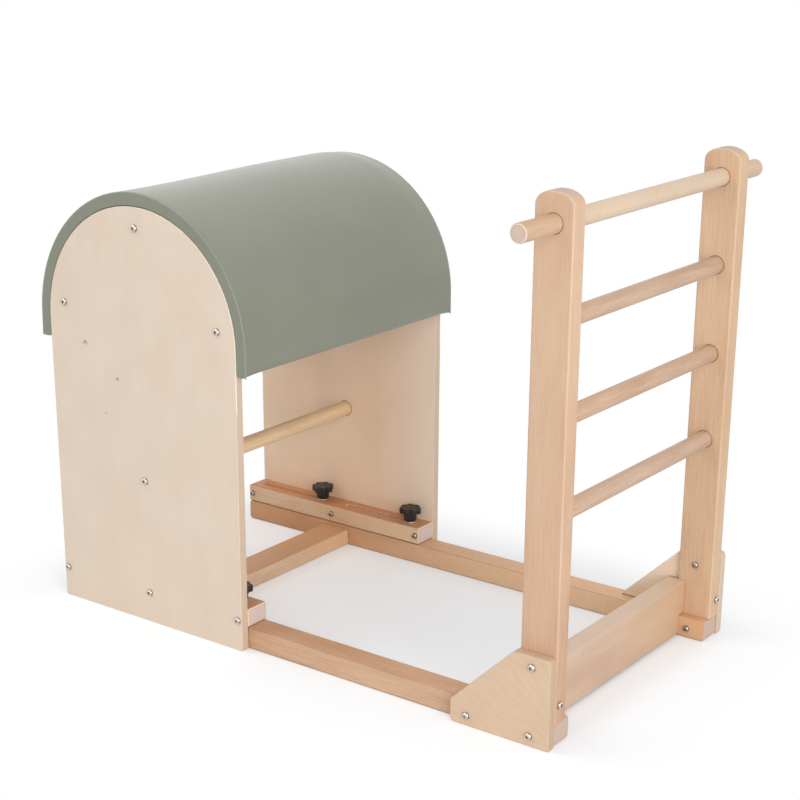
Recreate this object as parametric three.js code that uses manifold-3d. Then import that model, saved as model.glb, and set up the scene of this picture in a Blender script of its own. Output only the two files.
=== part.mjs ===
// Pilates ladder barrel: a padded arch on two plywood panels, which slides along a beech base towards a ladder.
// Millimetres, +Z up. +X runs from the barrel to the ladder, and the near side is at -Y.
// The origin is on the floor, under the middle of the whole.

import * as THREE from 'three';
import { mergeVertices } from 'three/addons/utils/BufferGeometryUtils.js';
import Module from 'manifold-3d';

const wasm = await Module();
wasm.setup();

// Fits and facets
const seatGap = 0.3; // left between faces that rest on each other, and round a pin in its hole
const cutOverrun = 2; // how far a cut runs past the face that it opens
const archFacets = 32; // in the half turn of the barrel
const cornerFacets = 3; // in a rounded corner
const boltSides = 12;
const holeSides = 16;
const dowelSides = 24;

// Side panels
const panelSpan = 640; // over the outer faces
const panelThickness = 18;
const panelWidth = 476;
const springHeight = 582; // where the straight edges end and the arch begins
const panelCorner = 4;
const panelEase = 1;

// Padded arch
const padThickness = 24; // from the panels' edge to the pad's outer face
const padDrop = 40; // below the spring line
const padEnd = 4; // cover turned over the edges of the shell
const padRound = 3; // rolled edge of the cover at the ends
const padLip = 8; // rolled outer corner at the bottom
const padInnerLip = 5;
const padCrown = 5; // how much fuller the pad is half way across
const padStrips = 6; // facets across the pad
const shellThickness = 6;
const shellEase = 0.5;

// Battens under the shell
const battenWidth = 40;
const battenDepth = 66;
const battenTilt = THREE.MathUtils.degToRad(80); // of the outer two, from upright
const battenFacets = 4; // in the face that fits the shell
const battenEase = 1.5;
const archBoltInset = 39; // from the panel's edge to the bolts in the battens

// Round bar between the panels
const crossbarDiameter = 32;
const crossbarHeight = 292.5;

// Base
const baseLength = 1153;
const railWidth = 51;
const railHeight = 43;
const railCorner = 7;
const railEase = 3;
const railPlay = 2; // between a rail and the panel beside it
const crossRailWidth = 68;
const crossRailHeight = 34;
const crossRailLift = 2;
const crossRailMiddle = 253; // from the rails' rear end
const crossRailEase = 2.5;
const crossRailCorner = 3;

// Slotted cleats that carry the panels on the rails
const cleatHeight = 37;
const cleatCorner = 3;
const cleatEase = 2;
const slotWidth = 12;
const slotFrontMargin = 35; // from the front slot to the cleat's front end
const slotMiddleMargin = 23; // from the front slot to the cleat's middle
const slotRearMargin = 20; // from the rear slot to the cleat's rear end
const slotEndFacets = 8;
const cleatBoltInset = 10;

// Clamping knobs
const studDiameter = 10;
const studStop = 1; // left between a stud and the end of its slot
const studEngagement = 20; // in the rail's insert
const knobSpan = 47; // over two lobes
const knobLobes = 7;
const knobNotch = 5; // how deep the outline goes in between lobes
const notchPowerShare = 1.6; // over 1 makes the lobes rounder and the notches narrower
const knobFacets = 56;
const knobHeadHeight = 13;
const knobEase = 2.5;
const hubDiameter = 27.4;
const hubTaper = 0.6; // how much wider the hub is where it meets the head
const hubFoot = 2.6; // rounding at the hub's lower end
const hubHeight = 17;
const knobTurns = { near: { front: 36, rear: 15 }, far: { front: 22, rear: 6 } }; // degrees, as they were left
const washerDiameter = 26;
const washerThickness = 2;
const insertDiameter = 16;
const insertLength = 22;
const insertRecess = 0.5;
const insertHoleDepth = 34;

// Ladder
const ladderHeight = 940;
const uprightWidth = 72.5;
const uprightLead = 2.5; // how far its front face lies in front of the rails' ends
const uprightThickness = 35;
const uprightCrown = 22; // height of the rounded top
const crownFacets = 14;
const uprightEase = 3.5;
const easeFacets = 2; // in the rounded edges of the ladder and rails
const rungDiameter = 32;
const rungRound = 3;
const lowRungHeight = 400.5;
const rungPitch = 165;
const lowRungCount = 3;
const topRungHeight = 889;
const topRungOverhang = 101; // outside each upright
const rungSocketDepth = 20;

// Kick board at the foot of the ladder
const kickBoardThickness = 38;
const kickBoardLap = 16.5; // how far its front face lies in front of the uprights' rear faces
const kickBoardTop = 110;
const kickBoardLift = 5;
const kickBoardEase = 1.5;
const kickBoardCorner = 3;

// Gussets: a plate outside each upright and rail, and a block behind it on the rail
const gussetThickness = 18;
const gussetLength = 202;
const gussetHeight = 168;
const gussetToe = 42.5; // height of its low end
const gussetCrest = 73; // length of its level top
const gussetCorner = 8;
const gussetFrontCorner = 3; // at the floor
const gussetCrestCorner = 20; // where the slope meets the level top
const gussetEase = 1.5;
const gussetBlockThickness = 25;
const gussetBlockToe = 5; // how far its low end lies in front of the plate's
const gussetBlockEase = 1;
const gussetBlockDrop = 4; // its level top lies this far under the plate's
const gussetBlockCorner = 1.5;
const toeBoltInset = 34.5;
const heelBoltInset = 37;
const crestBoltLead = 2.5; // how far the crest bolt stands in front of the heel bolt
const railBoltHeight = 19;
const crestBoltDrop = 21;

// Bolts
const boltDiameter = 8;
const boltHeadDiameter = 15;
const boltHeadHeight = 4.5;
const boltRimShare = 0.35; // of the head's height, below the dome
const boltDomeShares = [0.72, 0.85]; // of the head's radius and height, at the dome's shoulder
const boltBite = 45; // how far a bolt goes into the piece that it holds
const uprightBoltHeight = 77;

// Sizes that follow from those above
const halfSpan = panelSpan / 2;
const panelInner = halfSpan - panelThickness;
const archRadius = panelWidth / 2;
const shellInner = archRadius + seatGap;
const shellOuter = shellInner + shellThickness;
const shellWidth = panelSpan - 2 * padEnd;
const shellDrop = padDrop - padEnd;
const padOuter = archRadius + padThickness;
const railOuter = panelInner - railPlay;
const railInner = railOuter - railWidth;
const railMiddle = (railOuter + railInner) / 2;
const cleatBottom = railHeight + seatGap;
const cleatTop = cleatBottom + cleatHeight;
const cleatWidth = panelInner - seatGap - railInner;
const cleatMiddle = panelInner - seatGap - cleatWidth / 2;
const slotLength = archRadius - slotMiddleMargin - slotFrontMargin;
const slotPlaces = [panelWidth - slotFrontMargin - slotLength / 2, slotRearMargin + slotLength / 2];
const studPlaces = slotPlaces.map((x) => x + slotLength / 2 - studStop - studDiameter / 2);
const boltRadius = boltDiameter / 2;
const boltHoleRadius = boltRadius + seatGap;
const studRadius = studDiameter / 2;
const studHoleRadius = studRadius + seatGap;
const washerBottom = cleatTop + seatGap;
const hubBottom = washerBottom + washerThickness + seatGap;
const insertTop = railHeight - insertRecess;
const ladderFront = baseLength + uprightLead;
const uprightRear = ladderFront - uprightWidth;
const uprightMiddle = ladderFront - uprightWidth / 2;
const uprightInner = railOuter - uprightThickness;
const uprightMiddleOffset = uprightInner + uprightThickness / 2;
const uprightBottom = railHeight + seatGap;
const rungRadius = rungDiameter / 2;
const crossbarRadius = crossbarDiameter / 2;
const gussetOuter = railOuter + seatGap + gussetThickness;
const gussetRear = ladderFront - gussetLength;
const blockInner = railOuter - gussetBlockThickness;
const blockMiddle = blockInner + gussetBlockThickness / 2;
const blockFront = uprightRear - seatGap;
const kickBoardFront = uprightRear + kickBoardLap;
const wholeRear = -padThickness - padCrown;
const wholeFront = ladderFront + seatGap + boltHeadHeight;

// Materials
const finishes = {
  birch: { color: 0xe5d1bc, roughness: 0.55, metalness: 0 },
  bentPly: { color: 0xd9bf9f, roughness: 0.7, metalness: 0 },
  beech: { color: 0xdcb694, roughness: 0.45, metalness: 0 },
  rawBeech: { color: 0xd0a986, roughness: 0.6, metalness: 0 },
  vinyl: { color: 0x969f8b, roughness: 0.5, metalness: 0 },
  plastic: { color: 0x1b1b1c, roughness: 0.45, metalness: 0 },
  nickel: { color: 0xc9c8c6, roughness: 0.25, metalness: 1 },
  steel: { color: 0x9a9a9c, roughness: 0.4, metalness: 1 },
};

function piece(name, geometry, finish, position = [0, 0, 0]) {
  const mesh = new THREE.Mesh(geometry, new THREE.MeshStandardMaterial(finishes[finish]));
  mesh.name = name;
  mesh.position.set(...position);
  return mesh;
}

// Solids for cutting and joining

function solidFrom(geometry) {
  const bare = geometry.clone();
  bare.deleteAttribute('normal');
  bare.deleteAttribute('uv');
  const merged = mergeVertices(bare);
  return new wasm.Manifold(new wasm.Mesh({
    numProp: 3,
    vertProperties: Float32Array.from(merged.attributes.position.array),
    triVerts: Uint32Array.from(merged.index.array),
  }));
}

function geometryFrom(solid) {
  const { vertProperties, triVerts } = solid.getMesh();
  const geometry = new THREE.BufferGeometry();
  geometry.setAttribute('position', new THREE.BufferAttribute(vertProperties, 3));
  geometry.setIndex(new THREE.BufferAttribute(triVerts, 1));
  geometry.computeVertexNormals();
  return geometry;
}

function cut(geometry, cutters) {
  const solid = cutters.reduce((rest, cutter) => rest.subtract(cutter), solidFrom(geometry));
  return geometryFrom(solid);
}

function drill(axis, centre, radius, length, sides = holeSides) {
  const geometry = new THREE.CylinderGeometry(radius, radius, length, sides);
  if (axis === 'x') geometry.rotateZ(Math.PI / 2);
  if (axis === 'z') geometry.rotateX(Math.PI / 2);
  geometry.translate(...centre);
  return solidFrom(geometry);
}

function boxCutter(low, high) {
  const size = high.map((value, k) => value - low[k]);
  const geometry = new THREE.BoxGeometry(...size);
  geometry.translate(...low.map((value, k) => value + size[k] / 2));
  return solidFrom(geometry);
}

// Outlines in two dimensions

function arcPoints(x, z, radius, from, to, facets) {
  return Array.from({ length: facets + 1 }, (_, k) => {
    const angle = from + ((to - from) * k) / facets;
    return [x + radius * Math.cos(angle), z + radius * Math.sin(angle)];
  });
}

// Corners are [x, z] or [x, z, radius], in turn round a shape that has its inside on the left
function rounded(corners) {
  return corners.flatMap(([x, z, radius], k) => {
    if (!radius) return [[x, z]];
    const here = new THREE.Vector2(x, z);
    const before = new THREE.Vector2(...corners.at(k - 1).slice(0, 2)).sub(here).normalize();
    const after = new THREE.Vector2(...corners[(k + 1) % corners.length].slice(0, 2)).sub(here).normalize();
    const halfAngle = Math.acos(before.dot(after)) / 2;
    const centre = before.clone().add(after).normalize().multiplyScalar(radius / Math.sin(halfAngle)).add(here);
    const turn = Math.sign(after.cross(before));
    const from = before.clone().rotateAround(new THREE.Vector2(), (turn * Math.PI) / 2).angle();
    const sweep = turn * (Math.PI - 2 * halfAngle);
    return arcPoints(centre.x, centre.y, radius, from, from + sweep, cornerFacets);
  });
}

// A plate from an outline in X and Z: it is centred on y = 0 and its edges are eased
function plate(points, thickness, ease, { facets = 1, strips = 1 } = {}) {
  const shape = new THREE.Shape(points.map(([x, z]) => new THREE.Vector2(x, z)));
  const geometry = new THREE.ExtrudeGeometry(shape, {
    depth: thickness - 2 * ease,
    steps: strips,
    bevelEnabled: ease > 0,
    bevelThickness: ease,
    bevelSize: ease,
    bevelOffset: -ease,
    bevelSegments: facets,
  });
  geometry.translate(0, 0, ease - thickness / 2);
  geometry.rotateX(Math.PI / 2);
  return geometry;
}

function bar(width, height, corner, length, ease, facets = 1) {
  const half = width / 2;
  const points = rounded([[-half, 0, corner], [half, 0, corner], [half, height, corner], [-half, height, corner]]);
  return plate(points, length, ease, { facets });
}

// A turned piece about Y: points are [radius, y], from the bottom up
function turned(points, sides) {
  return new THREE.LatheGeometry(points.map(([r, y]) => new THREE.Vector2(r, y)), sides);
}

// Fasteners

const domeRadiusShare = boltDomeShares[0];
const domeHeightShare = boltDomeShares[1];

function headPoints(seat, direction) {
  const radius = boltHeadDiameter / 2;
  return [
    [radius, seat],
    [radius, seat + direction * boltHeadHeight * boltRimShare],
    [radius * domeRadiusShare, seat + direction * boltHeadHeight * domeHeightShare],
    [0, seat + direction * boltHeadHeight],
  ];
}

// A domed bolt whose head is at +Y and seats on y = 0
function bolt(length) {
  return turned([[0, -length], [boltRadius, -length], [boltRadius, 0], ...headPoints(seatGap, 1)], boltSides);
}

// A bolt with a domed sleeve nut on its far end, through pieces of this thickness
function throughBolt(thickness) {
  const nut = headPoints(-thickness - seatGap, -1).reverse();
  const shank = [[boltRadius, -thickness - seatGap], [boltRadius, seatGap]];
  return turned([...nut, ...shank, ...headPoints(seatGap, 1)], boltSides);
}

function fastened(name, geometry, position, direction) {
  const mesh = piece(name, geometry, 'nickel', position);
  if (direction === '-y') mesh.rotation.x = Math.PI;
  if (direction === '+x') mesh.rotation.z = -Math.PI / 2;
  return mesh;
}

// Barrel

const archBoltAngles = { rear: Math.PI / 2 + battenTilt, top: Math.PI / 2, front: Math.PI / 2 - battenTilt };
const archBoltRadius = archRadius - archBoltInset;

function archBoltPlace(angle) {
  return [archBoltRadius * Math.cos(angle), springHeight + archBoltRadius * Math.sin(angle)];
}

const cleatBoltPlaces = {
  rear: cleatBoltInset - archRadius,
  middle: 0,
  front: archRadius - cleatBoltInset,
};
const cleatBoltHeight = cleatBottom + cleatHeight / 2;

// Both panels are alike: centred on the barrel's middle, with the feet on the floor
function sidePanel() {
  const arch = arcPoints(0, springHeight, archRadius, 0, Math.PI, archFacets);
  const feet = [[-archRadius, 0, panelCorner], [archRadius, 0, panelCorner]];
  const body = plate(rounded([...feet, ...arch]), panelThickness, panelEase);
  const length = panelThickness + 2 * cutOverrun;
  const places = [
    ...Object.values(archBoltAngles).map(archBoltPlace),
    [0, crossbarHeight],
    ...Object.values(cleatBoltPlaces).map((x) => [x, cleatBoltHeight]),
  ];
  return cut(body, places.map(([x, z]) => drill('y', [x, 0, z], boltHoleRadius, length)));
}

// The arched strip between two radii, closed at the bottom of its straight legs
function archOutline(inner, outer, drop, outerLip = 0, innerLip = 0) {
  const over = arcPoints(0, 0, outer, 0, Math.PI, archFacets);
  const under = arcPoints(0, 0, inner, Math.PI, 0, archFacets);
  return rounded([
    [inner, -drop, innerLip],
    [outer, -drop, outerLip],
    ...over,
    [-outer, -drop, outerLip],
    [-inner, -drop, innerLip],
    ...under,
  ]);
}

function barrelShell() {
  return plate(archOutline(shellInner, shellOuter, shellDrop), shellWidth, shellEase);
}

function barrelPad() {
  const outline = archOutline(shellInner, padOuter, padDrop, padLip, padInnerLip);
  const body = plate(outline, panelSpan, padRound, { facets: 2, strips: padStrips });
  swell(body);
  const pocket = archOutline(shellInner - cutOverrun, shellOuter + seatGap, shellDrop + seatGap);
  return cut(body, [solidFrom(plate(pocket, shellWidth + 2 * seatGap, 0))]);
}

// Moves the pad's outer face out, most half way across, to give it its crown
function swell(geometry) {
  const position = geometry.attributes.position;
  const middle = (shellInner + padOuter) / 2;
  for (let k = 0; k < position.count; k += 1) {
    const x = position.getX(k);
    const z = position.getZ(k);
    const outward = new THREE.Vector2(x, Math.max(z, 0));
    if (outward.length() > middle) {
      const across = position.getY(k) / halfSpan;
      outward.setLength(padCrown * (1 - across * across));
      position.setXYZ(k, x + outward.x, position.getY(k), z + outward.y);
    }
  }
}

// A batten upright under the top of the shell, with its outer face shaped to it
function shellBatten() {
  const outer = archRadius - seatGap;
  const reach = Math.asin(battenWidth / 2 / outer);
  const face = arcPoints(0, 0, outer, Math.PI / 2 - reach, Math.PI / 2 + reach, battenFacets);
  const half = battenWidth / 2;
  const low = archRadius - battenDepth;
  const length = 2 * (panelInner - seatGap);
  const body = plate([[-half, low], [half, low], ...face], length, battenEase);
  const depth = boltBite + cutOverrun;
  const ends = [-1, 1].map((side) => [0, side * (length / 2 - depth / 2 + cutOverrun), archBoltRadius]);
  return cut(body, ends.map((centre) => drill('y', centre, boltHoleRadius, depth + 2 * cutOverrun)));
}

function crossbar() {
  const length = 2 * (panelInner - seatGap);
  const body = new THREE.CylinderGeometry(crossbarRadius, crossbarRadius, length, dowelSides);
  const depth = boltBite + cutOverrun;
  const ends = [-1, 1].map((side) => [0, side * (length / 2 - depth / 2 + cutOverrun), 0]);
  return cut(body, ends.map((centre) => drill('y', centre, boltHoleRadius, depth + 2 * cutOverrun)));
}

// A straight slot with round ends, cut down through a cleat
function slotCutter(middle) {
  const radius = slotWidth / 2;
  const reach = slotLength / 2 - radius;
  const shape = new THREE.Shape([
    ...arcPoints(middle + reach, 0, radius, -Math.PI / 2, Math.PI / 2, slotEndFacets),
    ...arcPoints(middle - reach, 0, radius, Math.PI / 2, (3 * Math.PI) / 2, slotEndFacets),
  ].map(([x, y]) => new THREE.Vector2(x, y)));
  const depth = cleatHeight + 2 * cutOverrun;
  const geometry = new THREE.ExtrudeGeometry(shape, { depth, bevelEnabled: false });
  geometry.translate(0, 0, -cutOverrun);
  return solidFrom(geometry);
}

function slottedCleat() {
  const body = bar(panelWidth, cleatHeight, cleatCorner, cleatWidth, cleatEase);
  const slots = slotPlaces.map((x) => slotCutter(x - archRadius));
  const length = cleatWidth + 2 * cutOverrun;
  const holes = Object.values(cleatBoltPlaces).map((x) => drill('y', [x, 0, cleatHeight / 2], boltHoleRadius, length));
  return cut(body, [...slots, ...holes]);
}

function barrel() {
  const group = new THREE.Group();
  group.position.x = archRadius;
  group.add(piece('barrel_shell', barrelShell(), 'bentPly', [0, 0, springHeight]));
  group.add(piece('barrel_pad', barrelPad(), 'vinyl', [0, 0, springHeight]));
  group.add(piece('crossbar', crossbar(), 'beech', [0, 0, crossbarHeight]));
  for (const [place, angle] of Object.entries(archBoltAngles)) {
    const batten = piece(`shell_batten_${place}`, shellBatten(), 'rawBeech', [0, 0, springHeight]);
    batten.rotation.y = Math.PI / 2 - angle;
    group.add(batten);
  }
  for (const [name, side] of [['near', -1], ['far', 1]]) {
    group.add(piece(`side_panel_${name}`, sidePanel(), 'birch', [0, side * (panelInner + panelThickness / 2), 0]));
    group.add(piece(`slotted_cleat_${name}`, slottedCleat(), 'beech', [0, side * cleatMiddle, cleatBottom]));
    const direction = side < 0 ? '-y' : '+y';
    const face = side * halfSpan;
    for (const [place, angle] of Object.entries(archBoltAngles)) {
      const [x, z] = archBoltPlace(angle);
      group.add(fastened(`arch_bolt_${name}_${place}`, bolt(panelThickness + boltBite), [x, face, z], direction));
    }
    const screw = bolt(panelThickness + boltBite);
    group.add(fastened(`crossbar_bolt_${name}`, screw, [0, face, crossbarHeight], direction));
    for (const [place, x] of Object.entries(cleatBoltPlaces)) {
      const through = throughBolt(panelThickness + seatGap + cleatWidth);
      group.add(fastened(`cleat_bolt_${name}_${place}`, through, [x, face, cleatBoltHeight], direction));
    }
  }
  return group;
}

// Clamping knobs

function insert() {
  const inner = studHoleRadius;
  const outer = insertDiameter / 2;
  return turned([[inner, 0], [outer, 0], [outer, insertLength], [inner, insertLength], [inner, 0]], holeSides);
}

function washer() {
  const inner = studHoleRadius;
  const outer = washerDiameter / 2;
  return turned([[inner, 0], [outer, 0], [outer, washerThickness], [inner, washerThickness], [inner, 0]], dowelSides);
}

function knobOutline() {
  return Array.from({ length: knobFacets }, (_, k) => {
    const angle = (2 * Math.PI * k) / knobFacets;
    const depth = knobNotch * ((1 - Math.cos(knobLobes * angle)) / 2) ** notchPowerShare;
    const radius = knobSpan / 2 - depth;
    return [radius * Math.cos(angle), radius * Math.sin(angle)];
  });
}

// Head, hub and stud of one knob: its axis is Y and the hub's foot is at y = 0
function knob(turn) {
  const head = plate(knobOutline(), knobHeadHeight, knobEase, { facets: 2 });
  head.translate(0, hubHeight + knobHeadHeight / 2, 0);
  const foot = hubDiameter / 2;
  const inHead = hubHeight + knobHeadHeight / 2;
  const hub = turned([
    [0, 0],
    ...arcPoints(foot - hubFoot, hubFoot, hubFoot, -Math.PI / 2, 0, cornerFacets),
    [foot + hubTaper, hubHeight],
    [foot + hubTaper, inHead],
    [0, inHead],
  ], dowelSides);
  const tip = insertTop - studEngagement - hubBottom;
  const stud = turned([[0, tip], [studRadius, tip], [studRadius, hubHeight], [0, hubHeight]], boltSides);
  const whole = geometryFrom(solidFrom(head).add(solidFrom(hub)).add(solidFrom(stud)));
  whole.rotateY(THREE.MathUtils.degToRad(turn));
  return whole;
}

function clamps(name, side) {
  const group = new THREE.Group();
  group.position.y = side * cleatMiddle;
  for (const [place, x] of [['front', studPlaces[0]], ['rear', studPlaces[1]]]) {
    const parts = [
      piece(`rail_insert_${name}_${place}`, insert(), 'steel', [x, 0, insertTop - insertLength]),
      piece(`knob_washer_${name}_${place}`, washer(), 'nickel', [x, 0, washerBottom]),
      piece(`knob_${name}_${place}`, knob(knobTurns[name][place]), 'plastic', [x, 0, hubBottom]),
    ];
    for (const part of parts) part.rotation.x = Math.PI / 2;
    group.add(...parts);
  }
  return group;
}

// Base and ladder

const railBoltPlaces = { toe: gussetRear + toeBoltInset, heel: baseLength - heelBoltInset };
const crestBoltHeight = gussetHeight - crestBoltDrop;
const crestBoltPlace = railBoltPlaces.heel + crestBoltLead;

function baseRail(side) {
  const corners = [[0, 0], [baseLength, 0], [baseLength, railHeight], [0, railHeight]];
  const body = plate(rounded(corners.map(([x, z]) => [x, z, railCorner])), railWidth, railEase, { facets: easeFacets });
  const insertOffset = side * (cleatMiddle - railMiddle);
  const depth = insertHoleDepth + cutOverrun;
  const sockets = studPlaces.map((x) => {
    const centre = [x, insertOffset, railHeight - insertHoleDepth / 2 + cutOverrun / 2];
    return drill('z', centre, insertDiameter / 2 + seatGap, depth);
  });
  const length = railWidth + 2 * cutOverrun;
  const bolts = Object.values(railBoltPlaces).map((x) => drill('y', [x, 0, railBoltHeight], boltHoleRadius, length));
  return cut(body, [...sockets, ...bolts]);
}

function crossRail() {
  return bar(crossRailWidth, crossRailHeight, crossRailCorner, 2 * (railInner - seatGap), crossRailEase);
}

// An upright from its foot on the rail to its rounded top, with the origin on the floor under its middle
function ladderUpright(side) {
  const half = uprightWidth / 2;
  const shoulder = ladderHeight - uprightCrown;
  const crown = arcPoints(0, 0, 1, 0, Math.PI, crownFacets);
  const top = crown.map(([x, z]) => [x * half, shoulder + z * uprightCrown]);
  const foot = uprightBottom - uprightEase;
  const body = plate([[-half, foot], [half, foot], ...top], uprightThickness, uprightEase, { facets: easeFacets });
  const inner = -side * (uprightThickness / 2);
  const holeRadius = rungRadius + seatGap;
  const sockets = Array.from({ length: lowRungCount }, (_, k) => {
    const centre = [0, inner + side * (rungSocketDepth - cutOverrun) / 2, lowRungHeight + k * rungPitch];
    return drill('y', centre, holeRadius, rungSocketDepth + cutOverrun, dowelSides);
  });
  const across = uprightThickness + 2 * cutOverrun;
  const along = uprightWidth + 2 * cutOverrun;
  const upper = drill('y', [0, 0, topRungHeight], holeRadius, across, dowelSides);
  const crestBolt = drill('y', [crestBoltPlace - uprightMiddle, 0, crestBoltHeight], boltHoleRadius, across);
  const faceBolt = drill('x', [0, side * (blockMiddle - uprightMiddleOffset), uprightBoltHeight], boltHoleRadius, along);
  const low = [-uprightWidth, -uprightThickness, uprightBottom - 2 * uprightEase];
  const squareFoot = boxCutter(low, [uprightWidth, uprightThickness, uprightBottom]);
  return cut(body, [...sockets, upper, crestBolt, faceBolt, squareFoot]);
}

function rung(halfLength) {
  const inner = rungRadius - rungRound;
  return turned([
    [0, -halfLength],
    ...arcPoints(inner, rungRound - halfLength, rungRound, -Math.PI / 2, 0, cornerFacets),
    ...arcPoints(inner, halfLength - rungRound, rungRound, 0, Math.PI / 2, cornerFacets),
    [0, halfLength],
  ], dowelSides);
}

// The board stands between the rails, rests on them beside that and is cut back beside the uprights
function kickBoard() {
  const low = railInner - seatGap;
  const wide = blockInner - seatGap;
  const shelf = railHeight + seatGap;
  const corner = kickBoardCorner;
  const outline = rounded([
    [-low, kickBoardLift, corner],
    [low, kickBoardLift, corner],
    [low, shelf],
    [wide, shelf, corner],
    [wide, kickBoardTop, corner],
    [-wide, kickBoardTop, corner],
    [-wide, shelf, corner],
    [-low, shelf],
  ]);
  const body = plate(outline, kickBoardThickness, kickBoardEase);
  body.rotateZ(Math.PI / 2);
  const lapRear = kickBoardThickness / 2 - kickBoardLap - seatGap;
  const cuts = [-1, 1].map((side) => {
    const inside = side * (uprightInner - seatGap);
    const outside = side * (wide + cutOverrun);
    const from = [lapRear, Math.min(inside, outside), shelf - cutOverrun];
    const to = [kickBoardThickness, Math.max(inside, outside), kickBoardTop + cutOverrun];
    return boxCutter(from, to);
  });
  return cut(body, cuts);
}

// The plate's outline from its rear end at x = 0
function gussetPlate() {
  const outline = rounded([
    [0, 0, gussetCorner],
    [gussetLength, 0, gussetFrontCorner],
    [gussetLength, gussetHeight, gussetCorner],
    [gussetLength - gussetCrest, gussetHeight, gussetCrestCorner],
    [0, gussetToe, gussetCorner],
  ]);
  const body = plate(outline, gussetThickness, gussetEase);
  const length = gussetThickness + 2 * cutOverrun;
  const places = [
    [railBoltPlaces.toe, railBoltHeight],
    [railBoltPlaces.heel, railBoltHeight],
    [crestBoltPlace, crestBoltHeight],
  ];
  return cut(body, places.map(([x, z]) => drill('y', [x - gussetRear, 0, z], boltHoleRadius, length)));
}

// The block has the plate's slope and fills the corner between the rail and the upright
function gussetBlock(side) {
  const slope = (gussetHeight - gussetToe) / (gussetLength - gussetCrest);
  const rear = gussetBlockToe;
  const front = blockFront - gussetRear;
  const top = gussetHeight - gussetBlockDrop;
  const shelf = railHeight + seatGap;
  const outline = rounded([
    [rear, shelf],
    [front, shelf],
    [front, top, gussetBlockCorner],
    [(top - gussetToe) / slope, top, gussetBlockCorner],
    [rear, gussetToe + slope * rear],
  ]);
  const thickness = gussetBlockThickness - seatGap;
  const body = plate(outline, thickness, gussetBlockEase);
  const depth = boltBite + 2 * cutOverrun;
  const offset = side * (seatGap / 2);
  return cut(body, [drill('x', [front - depth / 2 + cutOverrun, offset, uprightBoltHeight], boltHoleRadius, depth)]);
}

function ladderSide(name, side) {
  const group = new THREE.Group();
  const direction = side < 0 ? '-y' : '+y';
  const plateMiddle = railOuter + seatGap + gussetThickness / 2;
  const blockPlace = blockInner + (gussetBlockThickness - seatGap) / 2;
  group.add(piece(`base_rail_${name}`, baseRail(side), 'beech', [0, side * railMiddle, 0]));
  const uprightPlace = [uprightMiddle, side * uprightMiddleOffset, 0];
  group.add(piece(`ladder_upright_${name}`, ladderUpright(side), 'beech', uprightPlace));
  group.add(piece(`gusset_plate_${name}`, gussetPlate(), 'birch', [gussetRear, side * plateMiddle, 0]));
  group.add(piece(`gusset_block_${name}`, gussetBlock(side), 'beech', [gussetRear, side * blockPlace, 0]));
  const face = side * gussetOuter;
  const throughRail = gussetThickness + seatGap + railWidth;
  const throughUpright = gussetThickness + seatGap + uprightThickness;
  for (const [place, x] of Object.entries(railBoltPlaces)) {
    const geometry = throughBolt(throughRail);
    group.add(fastened(`gusset_bolt_${name}_${place}`, geometry, [x, face, railBoltHeight], direction));
  }
  const crest = [crestBoltPlace, face, crestBoltHeight];
  group.add(fastened(`gusset_bolt_${name}_crest`, throughBolt(throughUpright), crest, direction));
  const reach = uprightWidth + seatGap + boltBite;
  group.add(fastened(`upright_bolt_${name}`, bolt(reach), [ladderFront, side * blockMiddle, uprightBoltHeight], '+x'));
  return group;
}

function ladderBase() {
  const group = new THREE.Group();
  group.add(piece('cross_rail', crossRail(), 'beech', [crossRailMiddle, 0, crossRailLift]));
  group.add(piece('kick_board', kickBoard(), 'beech', [kickBoardFront - kickBoardThickness / 2, 0, 0]));
  for (let k = 0; k < lowRungCount; k += 1) {
    const halfLength = uprightInner + rungSocketDepth - seatGap;
    const place = [uprightMiddle, 0, lowRungHeight + k * rungPitch];
    group.add(piece(`ladder_rung_${k + 1}`, rung(halfLength), 'beech', place));
  }
  const topRung = rung(railOuter + topRungOverhang);
  group.add(piece(`ladder_rung_${lowRungCount + 1}`, topRung, 'beech', [uprightMiddle, 0, topRungHeight]));
  for (const [name, side] of [['near', -1], ['far', 1]]) {
    group.add(ladderSide(name, side), clamps(name, side));
  }
  return group;
}

const ladderBarrel = new THREE.Group();
ladderBarrel.position.x = -(wholeRear + wholeFront) / 2;
ladderBarrel.add(barrel(), ladderBase());

export default ladderBarrel;
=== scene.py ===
# %% [markdown]
# # A pilates ladder barrel
# A padded arch on two birch plywood panels slides along a beech base towards an upright ladder. Four knobs clamp it.
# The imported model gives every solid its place, in metres, with +Z up and +X from the barrel to the ladder. This
# lesson dresses those solids: boards keep their shape and get softened edges, while the pad, rungs, bolts and
# knobs are modelled again in finer detail at the same places.

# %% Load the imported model
import math
import random

import bmesh
import bpy
from mathutils import Matrix, Vector


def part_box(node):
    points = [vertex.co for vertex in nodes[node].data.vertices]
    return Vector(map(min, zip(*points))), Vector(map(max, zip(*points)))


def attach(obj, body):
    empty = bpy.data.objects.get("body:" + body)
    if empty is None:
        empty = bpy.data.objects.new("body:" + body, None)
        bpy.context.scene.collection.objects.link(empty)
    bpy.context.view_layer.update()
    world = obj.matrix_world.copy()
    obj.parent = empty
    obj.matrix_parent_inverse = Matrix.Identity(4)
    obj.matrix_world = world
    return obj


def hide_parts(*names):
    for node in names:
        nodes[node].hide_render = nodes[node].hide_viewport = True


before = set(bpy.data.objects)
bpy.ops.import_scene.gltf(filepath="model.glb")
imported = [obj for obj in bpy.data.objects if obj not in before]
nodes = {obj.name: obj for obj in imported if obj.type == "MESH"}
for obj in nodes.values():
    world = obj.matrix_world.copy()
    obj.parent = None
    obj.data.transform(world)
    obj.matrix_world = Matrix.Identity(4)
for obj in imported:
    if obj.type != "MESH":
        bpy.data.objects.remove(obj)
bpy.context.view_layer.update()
MM = 0.001
SIDES = (("near", -1), ("far", 1))
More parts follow.
